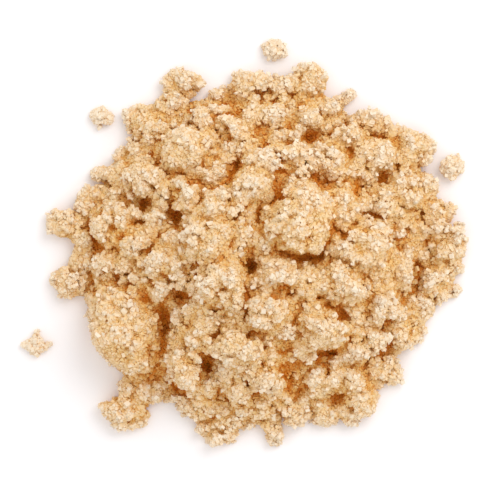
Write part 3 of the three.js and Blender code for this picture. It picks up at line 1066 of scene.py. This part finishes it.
class SUGAR_OT_heap_core(bpy.types.Operator):
    """Builds the heap's core with its clumps, hollows and gaps, in place of its solid"""

    bl_idname = "sugar.heap_core"
    bl_label = "Heap core"

    def execute(self, context):
        clumps = context.scene.sugar_clumps
        material = sugar_finish("sugar_heap_core", HEAP_CORE_SHIFT, CORE_ROUGHNESS, CORE_GLOSS)
        build_core("heap", material, clumps.cell, HEAP_WEAR, 1.0, SEEDS["heap"],
                   clumps.relief, SEEDS["heap_relief"])
        return {"FINISHED"}


class SUGAR_OT_crumb_cores(bpy.types.Operator):
    """Builds the core of each crumb that lies apart, in place of its solid"""

    bl_idname = "sugar.crumb_cores"
    bl_label = "Crumb cores"

    def execute(self, context):
        depth = CRUMB_RELIEF * context.scene.sugar_clumps.relief
        material = sugar_finish("sugar_crumb_core", CRUMB_CORE_SHIFT, CORE_ROUGHNESS, CORE_GLOSS)
        for number, name in enumerate(CRUMBS):
            seed = SEEDS["crumbs"] + CRUMB_SEED_STEP * number
            build_core(name, material, CRUMB_CELL, CRUMB_WEAR, CRUMB_SCALE, seed,
                       depth, SEEDS["crumb_relief"] + number)
        return {"FINISHED"}


class SUGAR_OT_crystals(bpy.types.Operator):
    """Lays the single crystals over the heap and its crumbs, one piece for each kind"""

    bl_idname = "sugar.crystals"
    bl_label = "Crystals"

    def execute(self, context):
        most = context.scene.sugar_crystals.heap_count
        scatter_crystals(["heap_core"], CRYSTAL_KINDS, most, SEEDS["heap_crystals"])
        scatter_crystals([name + "_core" for name in CRUMBS], CRUMB_KINDS, CRUMB_CRYSTALS,
                         SEEDS["crumb_crystals"])
        return {"FINISHED"}


class SUGAR_OT_stage(bpy.types.Operator):
    """Sets up the plain pale floor, the soft light and the camera straight above"""

    bl_idname = "sugar.stage"
    bl_label = "Stage"

    def execute(self, context):
        stage = context.scene.sugar_stage
        square = np.array([[-1, -1, 0], [1, -1, 0], [1, 1, 0], [-1, 1, 0]])
        floor_mesh = mesh_from("floor", FLOOR_HALF * square, np.array([[0, 1, 2, 3]]))
        floor = add_object("floor", floor_mesh)
        material, nodes, links = new_material("floor_card")
        shader = nodes.new("ShaderNodeBsdfPrincipled")
        shader.inputs["Base Color"].default_value = colour4(stage.floor_colour)
        shader.inputs["Roughness"].default_value = FLOOR_ROUGHNESS
        shader.inputs["Specular IOR Level"].default_value = FLOOR_GLOSS
        output = nodes.new("ShaderNodeOutputMaterial")
        links.new(shader.outputs["BSDF"], output.inputs["Surface"])
        floor.data.materials.append(material)

        world = bpy.data.worlds.new("soft_light")
        world.use_nodes = True
        background = world.node_tree.nodes["Background"]
        background.inputs["Color"].default_value = (1, 1, 1, 1)
        background.inputs["Strength"].default_value = stage.sky
        context.scene.world = world

        lamp = bpy.data.lights.new("lamp", "AREA")
        lamp.shape = "DISK"
        lamp.size = LAMP_SIZE
        lamp.energy = stage.lamp
        lamp_object = add_object("lamp", lamp)
        lamp_object.location = LAMP_PLACE
        to_middle = -Vector(lamp_object.location)
        lamp_object.rotation_euler = to_middle.to_track_quat("-Z", "Y").to_euler()

        camera = bpy.data.cameras.new("camera")
        camera.sensor_width = SENSOR_WIDTH
        camera.lens = camera.sensor_width * stage.camera_height / stage.view_width
        camera.clip_start, camera.clip_end = SIGHT
        camera_object = add_object("camera", camera)
        right = (PHOTO_MIDDLE[0] - HEAP_PIXEL[0]) * PIXEL_SIZE
        far = (HEAP_PIXEL[1] - PHOTO_MIDDLE[1]) * PIXEL_SIZE
        camera_object.location = (*heap_place(right, far), stage.camera_height)
        context.scene.camera = camera_object

        context.scene.view_settings.view_transform = "Standard"
        context.scene.view_settings.look = "None"
        context.scene.cycles.max_bounces = MAX_BOUNCES
        context.scene.cycles.diffuse_bounces = DIFFUSE_BOUNCES
        return {"FINISHED"}


class SUGAR_PT_panel(bpy.types.Panel):
    """The settings of the heap and the buttons that build it"""

    bl_idname = "SUGAR_PT_panel"
    bl_label = "Brown sugar"
    bl_space_type = "VIEW_3D"
    bl_region_type = "UI"
    bl_category = "Sugar"

    def draw(self, context):
        layout = self.layout
        for name in SETTINGS:
            group = getattr(context.scene, name)
            box = layout.box()
            for prop in group.bl_rna.properties:
                if prop.identifier not in ("rna_type", "name"):
                    box.prop(group, prop.identifier)
        for operator in OPERATORS:
            layout.operator(operator.bl_idname)


SETTINGS = {
    "sugar_clumps": SugarClumps,
    "sugar_crystals": SugarCrystals,
    "sugar_colours": SugarColours,
    "sugar_stage": SugarStage,
}
OPERATORS = [SUGAR_OT_heap_core, SUGAR_OT_crumb_cores, SUGAR_OT_crystals, SUGAR_OT_stage]


def register():
    for cls in [*SETTINGS.values(), *OPERATORS, SUGAR_PT_panel]:
        bpy.utils.register_class(cls)
    for name, cls in SETTINGS.items():
        setattr(bpy.types.Scene, name, PointerProperty(type=cls))


def unregister():
    for name in SETTINGS:
        delattr(bpy.types.Scene, name)
    for cls in reversed([*SETTINGS.values(), *OPERATORS, SUGAR_PT_panel]):
        bpy.utils.unregister_class(cls)


def main():
    register()
    bpy.ops.sugar.heap_core()
    bpy.ops.sugar.crumb_cores()
    bpy.ops.sugar.crystals()
    bpy.ops.sugar.stage()


if __name__ == "__main__":
    main()
